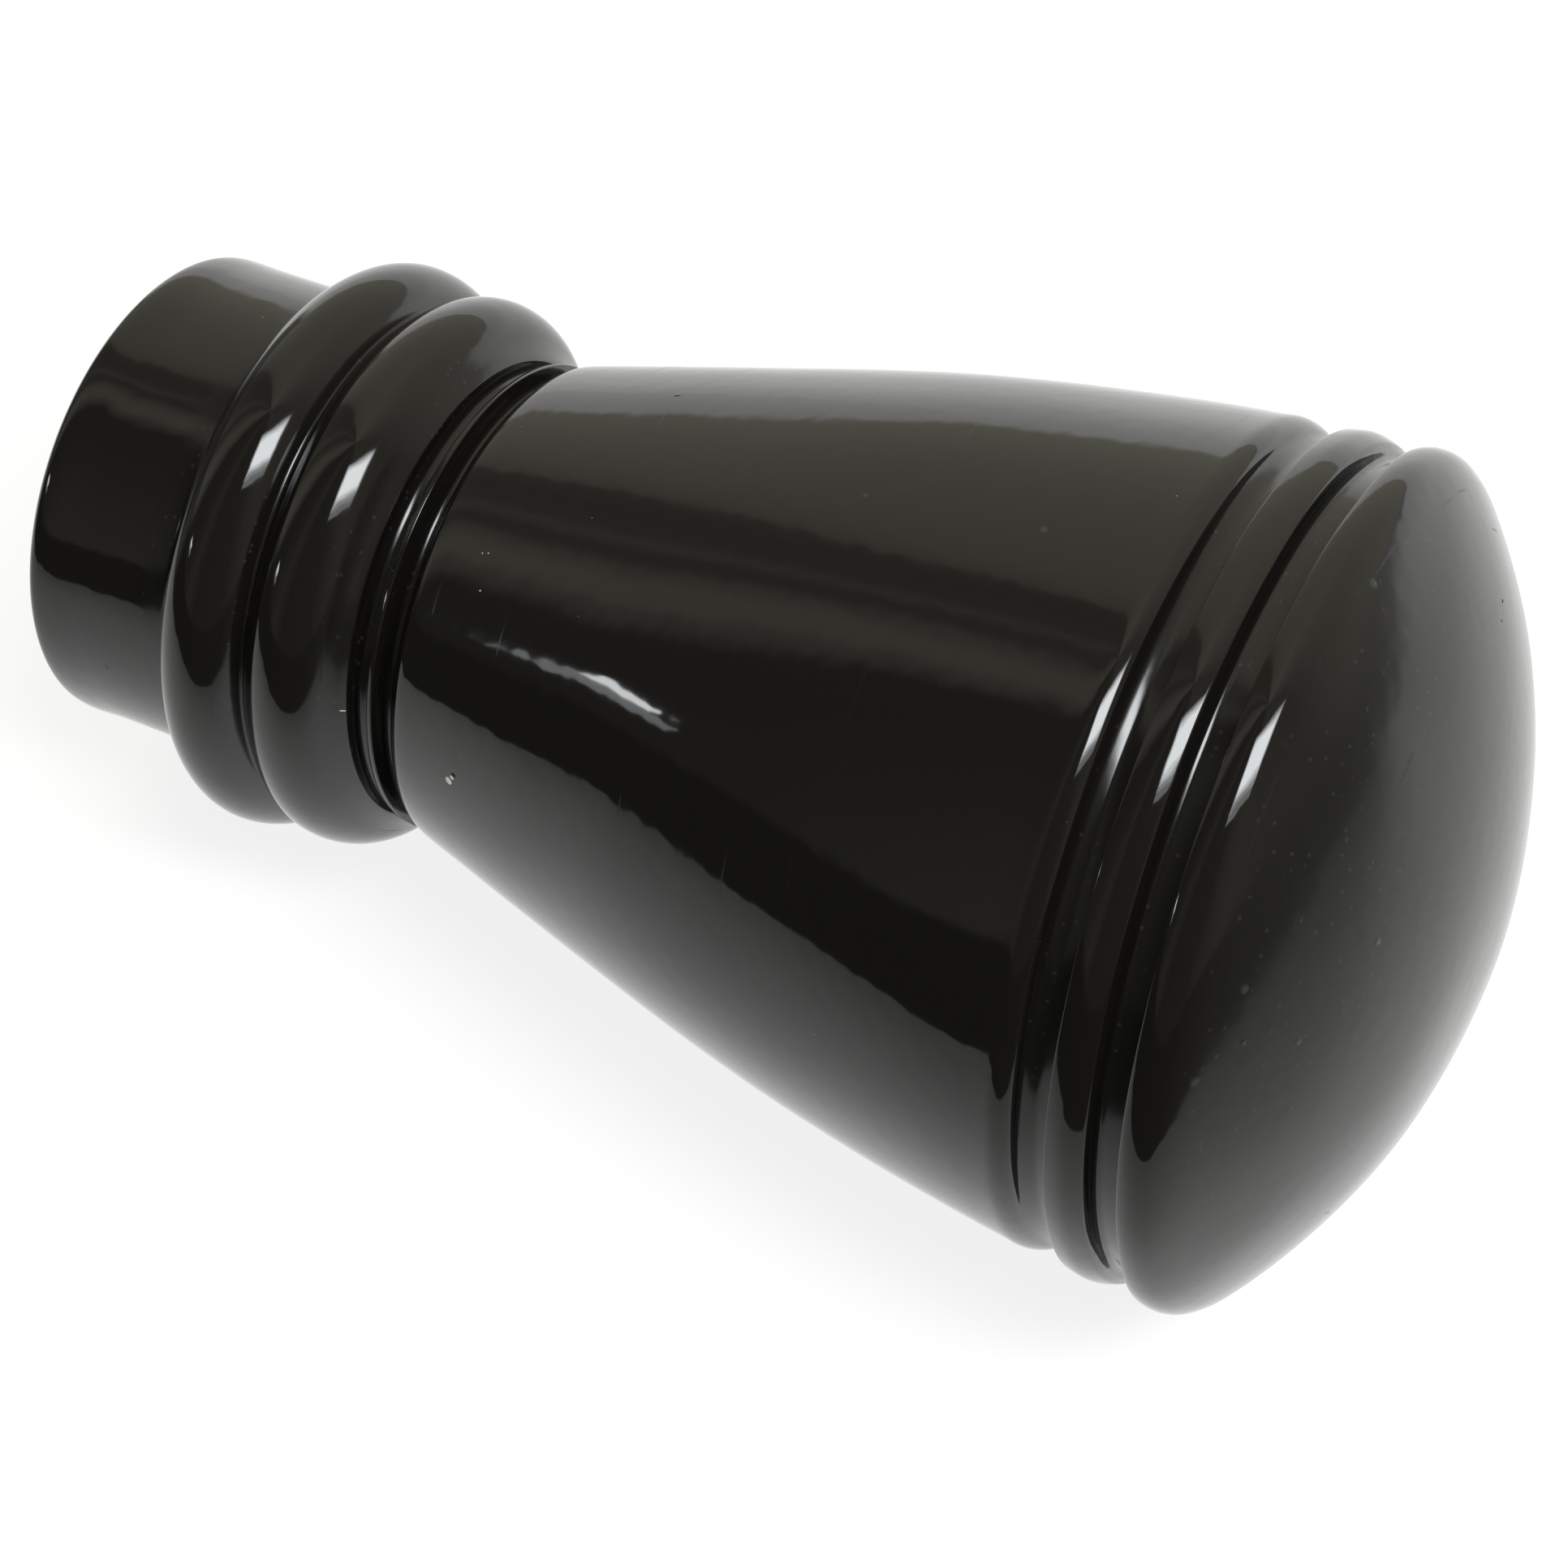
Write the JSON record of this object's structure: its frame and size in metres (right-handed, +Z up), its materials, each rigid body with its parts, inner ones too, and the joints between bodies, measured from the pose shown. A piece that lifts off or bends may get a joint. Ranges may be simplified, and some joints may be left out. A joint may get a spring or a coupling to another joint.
{
  "type": "curtain pole finial",
  "caption": "Round turned finial that caps a curtain pole: blind socket in a beaded collar, ridged neck, flared body with a grooved ring and a shallow domed end.",
  "frame": {"origin": "centre of the pole socket's mouth, in the plane of the collar's end face", "axes": "+X along the pole's axis, away from the pole and out through the domed end; +Z up with the pole level"},
  "size_m": [0.1023, 0.0586, 0.0586],
  "materials": {
    "black_lacquer": "high gloss"
  },
  "bodies": {
    "root": {"finial": "black_lacquer"}
  },
  "joints": []
}
